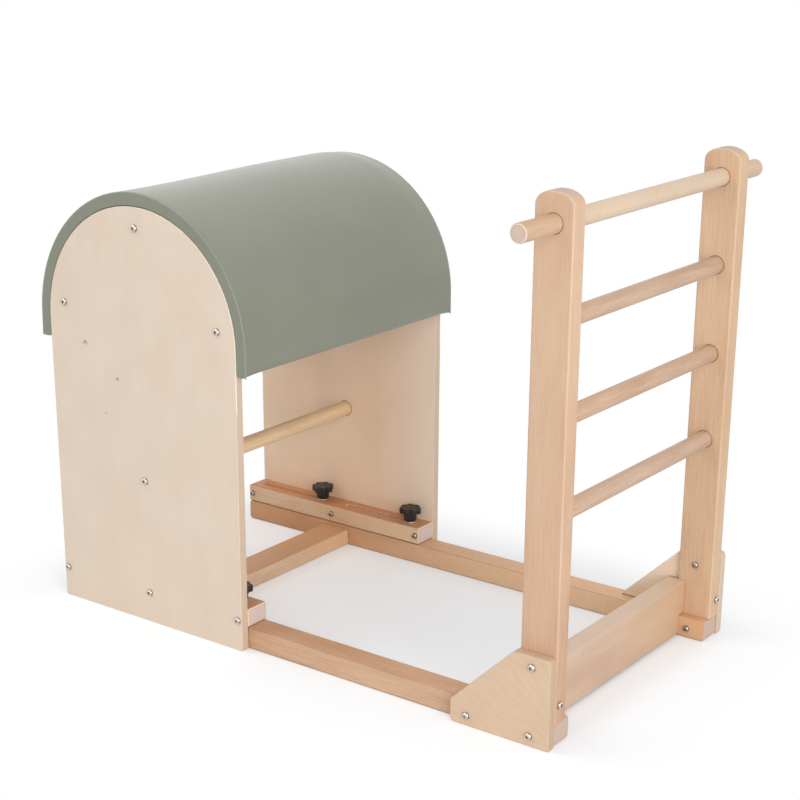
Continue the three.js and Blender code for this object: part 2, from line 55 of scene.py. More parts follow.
DOWEL_RADIUS = 16 * MM

# %% [markdown]
# ## Camera
# The photograph was taken from a little above the barrel, past the ladder's corner. Fitting straight edges and bolt
# centres gave the camera's place, its turn and its long lens. The frame sits low in the lens's field, which the
# camera's shift repeats, so that uprights keep their slight convergence.

# %% Place the camera
YAW, PITCH, ROLL = 0.636005, -0.338871, 0.005572
CAMERA_PLACE = (1.959417, -2.607717, 1.393841)
PHOTO_SIZE = 800
FOCAL_PIXELS = 1763.265
MIDDLE_PIXEL = (396.016, 495.559)
SENSOR = 36

forward = Vector((-math.sin(YAW) * math.cos(PITCH), math.cos(YAW) * math.cos(PITCH), math.sin(PITCH)))
right = forward.cross(Vector((0, 0, 1))).normalized()
up = right.cross(forward)
tilted_right = math.cos(ROLL) * right + math.sin(ROLL) * up
tilted_up = math.cos(ROLL) * up - math.sin(ROLL) * right
axes = Matrix((tilted_right, tilted_up, -forward)).transposed()
camera = bpy.data.objects.new("camera", bpy.data.cameras.new("camera"))
bpy.context.scene.collection.objects.link(camera)
camera.matrix_world = Matrix.Translation(CAMERA_PLACE) @ axes.to_4x4()
camera.data.sensor_width = SENSOR
camera.data.lens = SENSOR * FOCAL_PIXELS / PHOTO_SIZE
camera.data.shift_x = 0.5 - MIDDLE_PIXEL[0] / PHOTO_SIZE
camera.data.shift_y = MIDDLE_PIXEL[1] / PHOTO_SIZE - 0.5
camera.data.clip_end = 200
bpy.context.scene.camera = camera
print("lens", round(camera.data.lens, 1), "mm")

# %% [markdown]
# ## Node arithmetic
# Grain, plies and flecks are sums and products of simple patterns. Written as Python expressions they read like
# the formulas they are, so one class wraps a node's output and turns each operator into a Math node. A second
# class holds a material and makes every other kind of node in one method.


# %% Wrap sockets and materials
class Value:
    """An output of a node. Arithmetic on it adds Math nodes."""

    def __init__(self, finish, output):
        self.finish, self.output = finish, output

    def math(self, operation, *values):
        return self.finish.node("ShaderNodeMath", {"operation": operation}, dict(enumerate(values)))

    def __add__(self, other):
        return self.math("ADD", self, other)

    def __sub__(self, other):
        return self.math("SUBTRACT", self, other)

    def __rsub__(self, other):
        return self.math("SUBTRACT", other, self)

    def __mul__(self, other):
        return self.math("MULTIPLY", self, other)

    def __truediv__(self, other):
        return self.math("DIVIDE", self, other)

    def __pow__(self, other):
        return self.math("POWER", self, other)

    def __abs__(self):
        return self.math("ABSOLUTE", self)

    __radd__, __rmul__ = __add__, __mul__

    def at_least(self, low):
        return self.math("MAXIMUM", self, low)

    def at_most(self, high):
        return self.math("MINIMUM", self, high)

    def above(self, edge, blur):
        """0 below an edge and 1 above it, with a soft step of this width."""
        spread = {1: edge - blur / 2, 2: edge + blur / 2, 0: self}
        return self.finish.node("ShaderNodeMapRange", {"interpolation_type": "SMOOTHSTEP"}, spread)


class Finish:
    """A material and the nodes in it."""

    def __init__(self, name, **constants):
        self.material = bpy.data.materials.new(name)
        self.material.use_nodes = True
        self.tree = self.material.node_tree
        self.shader = self.tree.nodes["Principled BSDF"]
        self.join({key.replace("_", " "): value for key, value in constants.items()}, self.shader)

    def join(self, values, node):
        for key, value in values.items():
            if isinstance(value, Value):
                self.tree.links.new(value.output, node.inputs[key])
            elif node.inputs[key].type == "RGBA" and len(value) == 3:
                node.inputs[key].default_value = (*value, 1)
            else:
                node.inputs[key].default_value = value

    def node(self, kind, settings, values, output=0):
        node = self.tree.nodes.new(kind)
        for key, value in settings.items():
            if key == "stops":
                elements = node.color_ramp.elements
                while len(elements) < len(value):
                    elements.new(0.5)
                for element, (place, colour) in zip(elements, value):
                    element.position, element.color = place, (*colour, 1)
            else:
                setattr(node, key, value)
        self.join(values, node)
        return Value(self, node.outputs[output])

    def parts(self, vector):
        split = self.node("ShaderNodeSeparateXYZ", {}, {0: vector})
        return [Value(self, split.output.node.outputs[k]) for k in range(3)]

    def vector(self, x, y, z):
        return self.node("ShaderNodeCombineXYZ", {}, {0: x, 1: y, 2: z})

    def noise(self, place, scale, detail=2, roughness=0.5):
        values = {"Vector": place, "Scale": scale, "Detail": detail, "Roughness": roughness}
        return self.node("ShaderNodeTexNoise", {}, values)

    def cells(self, place, scale):
        return self.node("ShaderNodeTexVoronoi", {}, {"Vector": place, "Scale": scale})

    def mix(self, share, one, other):
        return self.node("ShaderNodeMix", {"data_type": "RGBA"}, {0: share, 6: one, 7: other}, 2)

    def places(self):
        """The place on the piece, in metres, and the way its surface faces."""
        spot = self.node("ShaderNodeTexCoord", {}, {}, 3)
        return self.parts(spot), self.parts(Value(self, spot.output.node.outputs[1]))

    def dowel_gap_shade(self, colour, spots, facing, holes):
        """Paints shade into the gap round each dowel at (x, z), on the faces that look its way along Y (0 for both).
        """
        for x, z, way in holes:
            reach = ((spots[0] - x) ** 2 + (spots[2] - z) ** 2) ** 0.5
            gap = reach.above(DOWEL_RADIUS + 0.1 * MM, 0.5 * MM) * (1 - reach.above(DOWEL_RADIUS + 1.4 * MM, 1.0 * MM))
            looks = (facing[1] * way).above(0.5, 0.4) if way else 1.0
            # Painted shade in the gap round the dowel.
            colour = self.mix(gap * 0.8 * looks, colour, paint(112, 76, 50))
        return colour

    def eased(self, facing, arched=False):
        """1 on the small rounded edges of a board, where the surface turns from one face to the next."""
        x, y, z = (abs(side) for side in facing)
        around = (x ** 2 + z ** 2) ** 0.5 if arched else x.at_least(z)
        return 1 - around.at_least(y).above(0.9, 0.14)

    def bump(self, height, distance, strength):
        return self.node("ShaderNodeBump", {}, {"Height": height, "Distance": distance, "Strength": strength})

    def wear(self, **values):
        self.join({key.replace("_", " "): value for key, value in values.items()}, self.shader)
        return self.material


def paint(red, green, blue):
    """A colour read off a screen, as the linear numbers that shaders use."""
    return tuple(((v / 255 + 0.055) / 1.055) ** 2.4 if v > 10 else v / 255 / 12.92 for v in (red, green, blue))


print("node classes ready")

# %% [markdown]
# ## Beech
# Steamed beech is pinkish tan. Its growth rings are faint lines a few millimetres apart, and its rays show as
# short dark flecks along the grain. A solid pattern suits wood: it is worked out in the board's own directions,
# so the rings run along the faces and curve over the ends, as in a sawn board. The rings are a noise over the
# distance to a far-off heart, and the flecks are small cells drawn out along the grain. End grain is paler and duller.
# Each board gets its own heart and tone, because boards come from different trees, but the tints of the far block,
# the far rail, the cross rail and the crossbar are partly painted light and shade. Some have a band in another tone
# between two places along the grain, and a top that differs from the sides: a darker top is painted shade and a
# paler one painted light, each partly the sawn top's own tone. Rounded arrises get a painted highlight, or painted
# shade on the rails, and the rims of end faces a painted highlight with a thin painted shade line inside. A thin
# dark line of painted shade marks where a board stands on another one (foot), where it runs behind another (lap)
# and round each dowel in its hole, and the cleats have worn slots.


# %% Make the beech finish
BEECH = ((198, 156, 124), (214, 174, 142), (223, 187, 156), (230, 200, 172))
# A darker top is painted shade and a paler top painted light, each partly the sawn top's own tone.
FLECK, TOP_SHADE_AND_TONE, TOP_LIGHT_AND_TONE = paint(162, 110, 80), paint(200, 138, 92), paint(233, 214, 198)
# Painted highlight for rounded arrises, and painted shade for them where the edge share is negative.
ARRIS_HIGHLIGHT, ARRIS_SHADE = paint(244, 224, 200), paint(156, 112, 80)
# Painted highlight round the rim of an end face, and a thin painted shade line just inside it.
RIM_HIGHLIGHT, RIM_SHADE_LINE = paint(246, 224, 200), paint(140, 108, 86)
SLOT_WALL, SLOT_CHIP = paint(226, 164, 120), paint(250, 222, 194)
# Painted shade: a thin dark line where a board stands on another, and where the kick board runs behind the uprights.
FOOT_SHADE_LINE, LAP_SHADE_LINE = paint(92, 58, 36), paint(140, 92, 58)
SLOT_HALF_WIDTH = 6.8 * MM
CHIPPED_FROM, CHIPPED_TO = -0.3, -0.15


def beech(name, along, seed, tint=(1, 1, 1), lines=0.45, top=0.0, end=(212, 190, 175), edge=0.2, arched=False,
          holes=(), slot=0.0, rim=None, tone_band=None, foot=None, lap=None, level=0.46):
    """Beech with its grain along an axis. The edge is a share of painted highlight on the rounded arrises, or of
    painted shade if it is negative.
    """
    finish = Finish(name, Specular_IOR_Level=0.28)
    chance = random.Random(seed)
    spots, facing = finish.places()
    k = "xyz".index(along)
    u = spots[(k + 1) % 3] + chance.uniform(0.5, 0.9)
    v = spots[(k + 2) % 3] + chance.uniform(0.5, 0.9)
    w = spots[k] + seed * 0.37
    drift = finish.noise(finish.vector(u * 5, v * 5, w * 1.6), 1, 2)
    heart = (chance.uniform(0.42, 0.47), chance.uniform(0.46, 0.62))
    rings = ((u - heart[0]) ** 2 + (v - heart[1]) ** 2) ** 0.5 + drift * 0.026
    ring = finish.noise(finish.vector(rings, w * 0.02, 0.0), 420, 2)
    fibre = finish.noise(finish.vector(u, v, w * 0.03), 900, 2, 0.6)
    cloud = finish.noise(finish.vector(u * 2, v * 2, w * 0.5), 7, 2)
    fleck = 1 - finish.cells(finish.vector(u + drift * 0.004, v, w * 0.1), 500).above(0.17, 0.16)
    ends = abs(facing[k]).above(0.8, 0.2)
    tones = [(place, paint(*(part * share for part, share in zip(tone, tint))))
             for place, tone in zip((0.2, 0.42, 0.6, 0.85), BEECH)]
    shade = (ring - 0.5) * (lines * 1.3) + (fibre - 0.5) * 0.35 + (cloud - 0.5) * 0.6 + 0.5
    colour = finish.node("ShaderNodeValToRGB", {"stops": tones}, {0: shade})
    # A band in another tone, between two places along the grain.
    if tone_band:
        start, stop, share, tone = tone_band
        colour = finish.mix(spots[k].above(*start) * (1 - spots[k].above(*stop) * 0.6) * share, colour, paint(*tone))
    colour = finish.mix(fleck * (lines * 0.8) * (1 - ends), colour, FLECK)
    if top:
        # Tops picked by face direction: painted shade where darker, painted light where paler, partly the sawn top's
        # own tone.
        colour = finish.mix(facing[2].above(0.8, 0.3) * abs(top), colour, TOP_SHADE_AND_TONE if top > 0 else TOP_LIGHT_AND_TONE)
    # Rounded arrises: a positive edge share paints a highlight on them, a negative one paints shade.
    colour = finish.mix(finish.eased(facing, arched) * abs(edge), colour, ARRIS_HIGHLIGHT if edge > 0 else ARRIS_SHADE)
    grain = finish.noise(finish.vector(*spots), 900, 3, 0.7)
    colour = finish.mix(ends * 0.8, colour, finish.mix(grain, paint(*(part * 0.88 for part in end)), paint(*end)))
    # The rim of an end face gets a painted highlight, with a thin line of painted shade just inside it.
    if rim:
        depth = rim(spots)
        line = depth.above(2.9 * MM, 0.8 * MM) * (1 - depth.above(4.1 * MM, 1.2 * MM))
        colour = finish.mix(ends * (1 - depth.above(3.2 * MM, 0.8 * MM)) * 0.7, colour, RIM_HIGHLIGHT)
        colour = finish.mix(ends * line * 0.45, colour, RIM_SHADE_LINE)
    if slot:
        off = abs(spots[1] - slot)
        wall = (1 - off.above(SLOT_HALF_WIDTH, 0.8 * MM)) * (1 - facing[2].above(0.5, 0.4)) * (1 - ends)
        chips = 1 - finish.cells(finish.vector(*spots), 300).above(0.42, 0.2)
        worn = spots[0].above(CHIPPED_FROM, 0.03) * (1 - spots[0].above(CHIPPED_TO, 0.03))
        worn = worn * (1 - off.above(9 * MM, 2 * MM))
        colour = finish.mix(wall * 0.85, colour, SLOT_WALL)
        colour = finish.mix(chips * worn * (0.85 - ends * 0.85), colour, SLOT_CHIP)
    # Painted shade: a thin dark line just above where the board stands.
    if foot is not None:
        colour = finish.mix((1 - spots[2].above(foot + 1.8 * MM, 1.2 * MM)) * 0.8, colour, FOOT_SHADE_LINE)
    # Painted shade on the stretch that runs behind the uprights.
    if lap:
        colour = finish.mix(abs(spots[1]).above(lap, 1.5 * MM) * 0.5, colour, LAP_SHADE_LINE)
    colour = finish.dowel_gap_shade(colour, spots, facing, holes)
    relief = ring * 0.3 + fibre * 0.5 - fleck * 0.4
    return finish.wear(Base_Color=colour, Roughness=fibre * 0.14 + ends * 0.15 + (level - 0.07),
                       Normal=finish.bump(relief, 0.00025, 0.5))


print("beech ready")

# %% [markdown]
# ## Birch plywood
# The face veneers are peeled from the log, so they are nearly plain: cream, with soft streaks and a rare small fleck.
# The cut edges show the plies, whose grain turns by a right angle from one to the next, so that darker end grain
# alternates with lighter long grain. The thin direction of the sheet tells the two apart: where the surface faces
# that way it is veneer, and elsewhere the depth in the sheet picks the ply. A knot is drawn as a small dark arch,
# and the outermost ply of the panels' upper edge is cream where it catches the light. Rounded edges get a painted
# highlight. The far panel, whose inner face sits in shade, is given a warmer, lighter tint and a paler ladder side:
# painted light. The far gusset's cut edges are paler and cooler: a painted reflection of the white surroundings.


# %% Make the plywood finish
CUT_PLIES = ((224, 201, 177), (192, 164, 138))
OUTER_PLY, LIT_FROM = 317.6 * MM, 0.47


def birch_ply(name, thin, grain, seed, ply=1.4 * MM, warm=0.0, tint=(1, 1, 1), knots=(), wavy=0.0, holes=(),
              arris=0.9, lit_edge=True, cut=(1, 1, 1), pale=0.0, level=0.46):
    """Plywood with its sheet across one axis and its face grain along another. The cut edges have their own tint,
    which on the far gusset is a painted reflection.
    """
    finish = Finish(name, Specular_IOR_Level=0.3)
    spots, facing = finish.places()
    t, g = "xyz".index(thin), "xyz".index(grain)
    depth, along, across = spots[t], spots[g] + seed * 0.61, spots[3 - t - g] + seed * 0.23
    sway = finish.noise(finish.vector(across * 3, along * 1.3, seed), 1, 2)
    figure = finish.noise(finish.vector(across + sway * 0.03, along * 0.035, seed), 75, 3, 0.6)
    fibre = finish.noise(finish.vector(across, along * 0.03, seed), 700, 2)
    cloud = finish.noise(finish.vector(across, along * 0.6, seed), 12, 2)
    shade = figure * 0.16 + fibre * 0.12 + cloud * 0.72
    tones = [(place, paint(red * tint[0], (green - 5 * warm) * tint[1], (blue - 11 * warm) * tint[2]))
             for place, red, green, blue in ((0.3, 225, 204, 184), (0.7, 231, 213, 193))]
    veneer = finish.node("ShaderNodeValToRGB", {"stops": tones}, {0: shade})
    if wavy:
        bend = finish.noise(finish.vector(across * 9, along * 5, seed), 1, 2)
        band = finish.noise(finish.vector(across + along * 0.35 + bend * 0.09, along * 0.22, seed), 110, 3)
        veneer = finish.mix(band.above(0.54, 0.3) * wavy, veneer, paint(202, 160, 126))
    for x, z, size in knots:
        reach = ((spots[0] - x) ** 2 + ((spots[2] - z) * 0.7) ** 2) ** 0.5
        knot = (1 - abs(reach - size).above(size * 0.5, size * 0.6)) * (spots[2] - z).above(0.1 * size, size)
        veneer = finish.mix(knot * min(0.8, 2.6 * MM / size), veneer, paint(158, 120, 96))
    # Painted light: the veneer is painted paler from the middle towards the ladder.
    if pale:
        veneer = finish.mix(spots[0].above(-0.17, 0.14) * pale, veneer, paint(248, 232, 214))
    veneer = finish.dowel_gap_shade(veneer, spots, facing, holes)
    layer = (depth / (2 * ply)).math("FRACT", depth / (2 * ply))
    end_grain = abs(layer - 0.5).above(0.25, 0.08)
    pores = finish.noise(finish.vector(*spots), 1400, 2)
    plies = (paint(*(part * share for part, share in zip(tone, cut))) for tone in CUT_PLIES)
    edge = finish.mix(end_grain * 0.45 + pores * 0.25, *plies)
    flat = abs(facing[t]).above(0.75, 0.2)
    if lit_edge:
        lit = abs(depth).above(OUTER_PLY, 1.2 * MM) * (spots[2] - LIT_FROM).above(0, 0.02)
        edge = finish.mix(lit, edge, paint(252, 242, 224))
    # Rounded edges get a painted highlight, as much as the arris share asks.
    colour = finish.mix(finish.eased(facing, True) * arris, finish.mix(flat, edge, veneer), paint(248, 236, 216))
    return finish.wear(Base_Color=colour, Roughness=fibre * 0.1 + (level - 0.05),
                       Normal=finish.bump(fibre * 0.4 + (1 - flat) * end_grain * 0.6, 0.0002, 0.4))


print("plywood ready")

# %% [markdown]
# ## Vinyl, plastic and metal
# The pad's cover is sage upholstery vinyl: a soft sheen over a fine pebbled grain. The grain is a field of
# rounded cells about a millimetre wide, broken up by noise, and it works as relief far more than as colour. The
# cover is painted dark where it is tucked in against the panels, painted shade in the gap, and its sloping shoulder
# is painted a little darker, painted shade. The welt's vinyl is painted paler, a painted highlight. The knobs are
# moulded plastic with a fine spark-eroded skin. Bolts and washers are bright nickel with faint turning marks, and
# the inserts are duller zinc. A bolt's points carry their distance from its axis (reach) and a mark on its nut.
# With them its socket is painted dark, painted shade, the sides of its dome are painted dark, painted reflection
# and shade, and its nut a little darker, painted shade.


# %% Make the other finishes
ARCH = (-0.32765, 0.582)
TUCK_RADIUS = 239.8 * MM


def sage_vinyl(name, highlight_lift=0):
    finish = Finish(name, Specular_IOR_Level=0.5, Sheen_Weight=0.1, Sheen_Roughness=0.4, Coat_Roughness=0.3)
    finish.shader.inputs["Coat Weight"].default_value = 0.55
    spots, facing = finish.places()
    spot = finish.vector(*spots)
    cloud = finish.noise(spot, 9, 3)
    wander = finish.noise(spot, 260, 2)
    pebble = finish.cells(finish.vector(spots[0] + wander * 0.0012, spots[1] + wander * 0.0012, spots[2]), 820)
    grain = 1 - pebble.above(0.35, 0.7)
    fine = finish.noise(spot, 2400, 2)
    # Lifting these tones paints the welt paler: a painted highlight.
    tones = [(0.3, paint(128 + highlight_lift, 131 + highlight_lift, 113 + highlight_lift)),
             (0.7, paint(135 + highlight_lift, 138 + highlight_lift, 120 + highlight_lift))]
    colour = finish.node("ShaderNodeValToRGB", {"stops": tones}, {0: cloud * 0.7 + fine * 0.3})
    # The sloping shoulder is painted darker, painted shade; the grain's low spots share that darker colour.
    shoulder_shade = facing[2].above(0.15, 0.4) * (1 - facing[2].above(0.7, 0.4))
    colour = finish.mix((1 - grain) * 0.12 + shoulder_shade * 0.2, colour, paint(104, 108, 95))
    # Painted shade: the cover is painted dark in a thin ring where it is tucked in against the panels.
    high = (spots[2] - ARCH[1]).at_least(0)
    tuck_shade = 1 - (((spots[0] - ARCH[0]) ** 2 + high ** 2) ** 0.5).above(TUCK_RADIUS, 1.2 * MM)
    colour = finish.mix(tuck_shade * 0.85, colour, paint(74, 64, 52))
    return finish.wear(Base_Color=colour, Roughness=cloud * 0.1 + grain * 0.06 + 0.27,
                       Normal=finish.bump(grain * 0.8 + fine * 0.2 + cloud * 5, 0.00022, 0.45))


def knob_plastic():
    finish = Finish("knob plastic", Specular_IOR_Level=0.5)
    spots, _ = finish.places()
    skin = finish.noise(finish.vector(*spots), 3500, 3, 0.7)
    haze = finish.noise(finish.vector(*spots), 120, 2)
    tones = [(0.3, paint(24, 23, 23)), (0.75, paint(35, 33, 32))]
    colour = finish.node("ShaderNodeValToRGB", {"stops": tones}, {0: haze})
    return finish.wear(Base_Color=colour, Roughness=skin * 0.12 + 0.34, Normal=finish.bump(skin, 0.00006, 0.5))


def plated(name, colour, rough, axis=None):
    finish = Finish(name, Metallic=1.0)
    spots, facing = finish.places()
    marks = finish.noise(finish.vector(spots[0], spots[1] * 0.2, spots[2]), 2600, 2)
    haze = finish.noise(finish.vector(*spots), 240, 2)
    tones = [(0.3, [v * 0.9 for v in colour]), (0.7, colour)]
    base = finish.node("ShaderNodeValToRGB", {"stops": tones}, {0: haze})
    if axis:
        reach, nut = (finish.node("ShaderNodeAttribute", {"attribute_name": part}, {}, 2) for part in ("reach", "nut"))
        # Painted reflection and shade: the sides of the dome are painted dark, the socket darker still, and the nut a
        # little darker, painted shade.
        flank_shade = 1 - abs(facing["xyz".index(axis)]).above(0.7, 0.4)
        socket = 1 - reach.above(3.5, 0.3)
        base = finish.mix(nut * 0.5, base, paint(142, 120, 96))
        base = finish.mix(flank_shade * (socket * 0.3 + 0.65), base, paint(92, 72, 56))
    return finish.wear(Base_Color=base, Roughness=marks * 0.12 + haze * 0.08 + (rough - 0.1),
                       Normal=finish.bump(marks, 0.00003, 0.4))


# The welt's vinyl is the same with paler tones, a painted highlight.
vinyl, welt_highlight_vinyl, plastic = sage_vinyl("sage vinyl"), sage_vinyl("highlighted welt vinyl", 14), knob_plastic()
nickel = plated("bright nickel", (0.93, 0.91, 0.88), 0.34)
bolt_nickel = {axis: plated("bolt nickel " + axis, (0.88, 0.82, 0.76), 0.28, axis) for axis in "xy"}
zinc = plated("dull zinc", (0.5, 0.5, 0.51), 0.42)
print("vinyl, plastic and metals ready")

# %% [markdown]
# ## Working helpers
# Operators act on whatever is selected, so each piece is first selected alone. Faces and edges are picked by a
# test of their middle and direction. A finished piece keeps its place in its mesh, gets a finish, rides on its
# body and stands for its solid.


# %% Define the helpers
def choose(piece):
    bpy.ops.object.select_all(action="DESELECT")
    piece.select_set(True)
    bpy.context.view_layer.objects.active = piece
    return piece


def start(name):
    """Names a new primitive and opens it for editing, with its place in its mesh."""
    piece = bpy.context.object
    piece.name = piece.data.name = name
    bpy.ops.object.transform_apply(location=True, rotation=True, scale=True)
    bpy.ops.object.mode_set(mode="EDIT")
    return piece


def pick(piece, kind, test):
    """Selects the faces, edges or vertices whose middle (and face direction) pass a test."""
    bpy.ops.mesh.select_mode(type=kind)
    bpy.ops.mesh.select_all(action="DESELECT")
    mesh = bmesh.from_edit_mesh(piece.data)
    if kind == "FACE":
        chosen = [f for f in mesh.faces if test(f.calc_center_median(), f.normal)]
    elif kind == "EDGE":
        chosen = [e for e in mesh.edges if test((e.verts[0].co + e.verts[1].co) / 2, e)]
    else:
        chosen = [v for v in mesh.verts if test(v.co)]
    for item in chosen:
        item.select_set(True)
    bmesh.update_edit_mesh(piece.data)
    return len(chosen)


def close_up(piece, angle=40):
    """Ends editing: joins doubles, turns faces outwards and smooths all but sharp edges."""
    bpy.ops.mesh.select_all(action="SELECT")
    bpy.ops.mesh.remove_doubles(threshold=1e-6)
    bpy.ops.mesh.normals_make_consistent(inside=False)
    bpy.ops.object.mode_set(mode="OBJECT")
    choose(piece)
    bpy.ops.object.shade_smooth_by_angle(angle=math.radians(angle))
    return piece


def add_modifier(piece, kind, **settings):
    choose(piece)
    modifier = piece.modifiers.new(kind.lower(), kind)
    for key, value in settings.items():
        setattr(modifier, key, value)
    bpy.ops.object.modifier_apply(modifier=modifier.name)


def dress(piece, body, slot, material, *replaced):
    """Gives a piece its finish, its body and the solids that it stands for."""
    piece.data.materials.clear()
    piece.data.materials.append(material)
    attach(piece, body)
    if replaced:
        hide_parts(*replaced)
    return piece


def copy_of(piece, name):
    twin = bpy.data.objects.new(name, piece.data.copy())
    bpy.context.scene.collection.objects.link(twin)
    return twin


print("helpers ready")

# %% [markdown]
# ## Boards
# The sawn boards already have the right shape, holes and eased edges, so a copy of each solid is refined rather
# than modelled again: its loose triangles are joined, coplanar ones are merged, and the shading is smoothed over
# the small chamfers with normals weighted by face area, which leaves the broad faces flat and the edges soft.


# %% Refine the boards
def refined(node, body, slot, material, angle=50):
    piece = choose(copy_of(nodes[node], "board_" + node))
    piece.data.materials.clear()
    bpy.ops.object.mode_set(mode="EDIT")
    bpy.ops.mesh.select_all(action="SELECT")
    bpy.ops.mesh.remove_doubles(threshold=1e-5)
    bpy.ops.mesh.dissolve_limited(angle_limit=math.radians(0.5))
    bpy.ops.object.mode_set(mode="OBJECT")
    bpy.ops.object.shade_smooth_by_angle(angle=math.radians(angle))
    add_modifier(piece, "WEIGHTED_NORMAL", keep_sharp=True)
    return dress(piece, body, slot, material, node)


def across_end(middle, half):
    """How deep a spot on a board's end lies inside the end's outline, in the Y and Z directions."""
    return lambda spots: (half[0] - abs(spots[1] - middle[0])).at_most(half[1] - abs(spots[2] - middle[1]))


NEAR_KNOTS = ((-0.4727, 0.540, 0.0042), (-0.3897, 0.482, 0.0028), (-0.4257, 0.410, 0.0015))
RUNG_X, BAR = 0.5536, (-0.32765, 0.2925)
LOW_RUNGS, TOP_RUNG = (0.4005, 0.5655, 0.7305), 0.889
RAIL_TOP, SLOT_Y = 0.0433, 0.27535
CLEAT_MIDDLE, CLEAT_HALF = (0.27465, 0.0618), (26.35 * MM, 18.5 * MM)
CLEAT_BAND = ((-0.24, 0.46), (0.9, 0.1), 0.75, (248, 212, 174))
KICK_BAND = ((0.12, 0.3), (0.9, 0.1), 0.6, (208, 170, 126))
PALE = (0.97, 1.01, 1.06)
# The far rail's darker tint is painted shade under the barrel, and its paler band towards the ladder is painted light.
RAIL_TINTS = {"near": (0.955, 0.935, 0.905), "far": (0.93, 0.84, 0.755)}
RAIL_BANDS = {"near": ((0.2, 0.6), (0.9, 0.1), 0.3, (226, 196, 168)),
            "far": ((-0.12, 0.7), (0.51, 0.06), 0.8, (252, 216, 176))}
# The far block's much lighter, cooler tint is painted light.
BLOCK_TINTS = {"near": PALE, "far": (1.1, 1.2, 1.28)}
UPRIGHT_TINTS = {"near": (0.955, 0.94, 0.94), "far": (0.985, 1.005, 0.995)}
UPRIGHT_BAND = ((0.35, 0.6), (2.0, 0.1), 0.35, (226, 198, 170))
for side, sign in SIDES:
    seed = 3 + sign
    near = sign < 0
    rung_holes = [(RUNG_X, height, -sign) for height in LOW_RUNGS] + [(RUNG_X, TOP_RUNG, 0)]
    # The far panel's warmer, lighter tint and its paler ladder side are painted light on its shaded inner face.
    panel = birch_ply("birch ply panel " + side, "y", "z", seed, knots=NEAR_KNOTS if near else (),
                      tint=(1, 1, 1) if near else (1.06, 1.025, 0.985), pale=0.0 if near else 0.7,
                      holes=[(*BAR, -sign)])
    # The far gusset's cut edges are painted paler and cooler: a painted reflection of the white surroundings.
    gusset = birch_ply("birch ply gusset " + side, "y", "x", seed + 7, warm=1.6, tint=(0.975, 0.965, 0.96), wavy=0.2,
                       arris=0.12, lit_edge=False, cut=(0.94, 0.905, 0.86) if near else (1, 1.01, 1.04))
    cleat = beech("beech cleat " + side, "x", seed + 1, (0.985, 1.01, 0.99), top=0.8, end=(226, 211, 209),
                  edge=0.3, tone_band=CLEAT_BAND, foot=RAIL_TOP, slot=sign * SLOT_Y,
                  rim=across_end((sign * CLEAT_MIDDLE[0], CLEAT_MIDDLE[1]), CLEAT_HALF))
    rail = beech("beech rail " + side, "x", seed + 11, RAIL_TINTS[side], lines=0.55, top=0.25, edge=-0.4,
                 tone_band=RAIL_BANDS[side], foot=0.0)
    upright = beech("beech upright " + side, "z", seed + 23, UPRIGHT_TINTS[side], lines=0.36, arched=True,
                    edge=0.16, tone_band=UPRIGHT_BAND if near else None, holes=rung_holes)
    block = beech("beech block " + side, "x", seed + 31, BLOCK_TINTS[side], lines=0.12, foot=RAIL_TOP)
    refined("side_panel_" + side, "barrel", "birch", panel)
    refined("gusset_plate_" + side, "base", "birch", gusset)
    refined("slotted_cleat_" + side, "barrel", "beech", cleat)
    refined("base_rail_" + side, "base", "beech", rail)
    refined("ladder_upright_" + side, "base", "beech", upright)
    refined("gusset_block_" + side, "base", "beech", block)
# The cross rail's lighter tint is partly its own tone and partly painted light, as it sits in the barrel's shade.
cross = beech("beech cross rail", "y", 41, (1.04, 1.085, 1.11), lines=0.35, top=0.5, edge=-0.2,
              tone_band=((0.13, 0.24), (0.9, 0.1), 0.65, (244, 198, 146)))
refined("cross_rail", "base", "beech", cross)
kick = beech("beech kick board", "y", 43, PALE, lines=0.14, top=-0.3, edge=0.1, tone_band=KICK_BAND, foot=0.005,
             lap=263.4 * MM)
refined("kick_board", "base", "beech", kick)
shell_ply = birch_ply("bent ply shell", "z", "y", 5, warm=2.0, level=0.6)
refined("barrel_shell", "barrel", "bent_ply", shell_ply)
for place in ("rear", "top", "front"):
    batten = beech("raw beech " + place, "y", 50 + len(place), level=0.62)
    refined("shell_batten_" + place, "barrel", "raw_beech", batten)
print("boards refined")

# %% [markdown]
# ## Rungs and crossbar
# Dowels are turned, so a cylinder is the natural start. Its end edges are bevelled round, as a lathe leaves
# them, and the end faces are inset once so that the bevel stays crisp. Each solid's box gives the length and place.


# %% Turn the dowels
def dowel(node, body, material, rounding):
    low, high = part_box(node)
    middle, size = (low + high) / 2, high - low
    bpy.ops.mesh.primitive_cylinder_add(vertices=72, radius=DOWEL_RADIUS, depth=size.y, location=middle,
                                        rotation=(math.pi / 2, 0, 0))
    piece = start("dowel_" + node)
    ends = (low.y, high.y)
    pick(piece, "EDGE", lambda spot, edge: min(abs(spot.y - y) for y in ends) < 1e-5)
    bpy.ops.mesh.bevel(offset=rounding, segments=5, profile=0.5)
    pick(piece, "FACE", lambda spot, facing: abs(facing.y) > 0.99)
    bpy.ops.mesh.inset(thickness=0.6 * MM, use_individual=True)
    close_up(piece, 30)
    return dress(piece, body, "beech", material, node)


def from_axis(x, z):
    """How deep a spot on a dowel's end lies inside its rim."""
    return lambda spots: DOWEL_RADIUS - ((spots[0] - x) ** 2 + (spots[2] - z) ** 2) ** 0.5


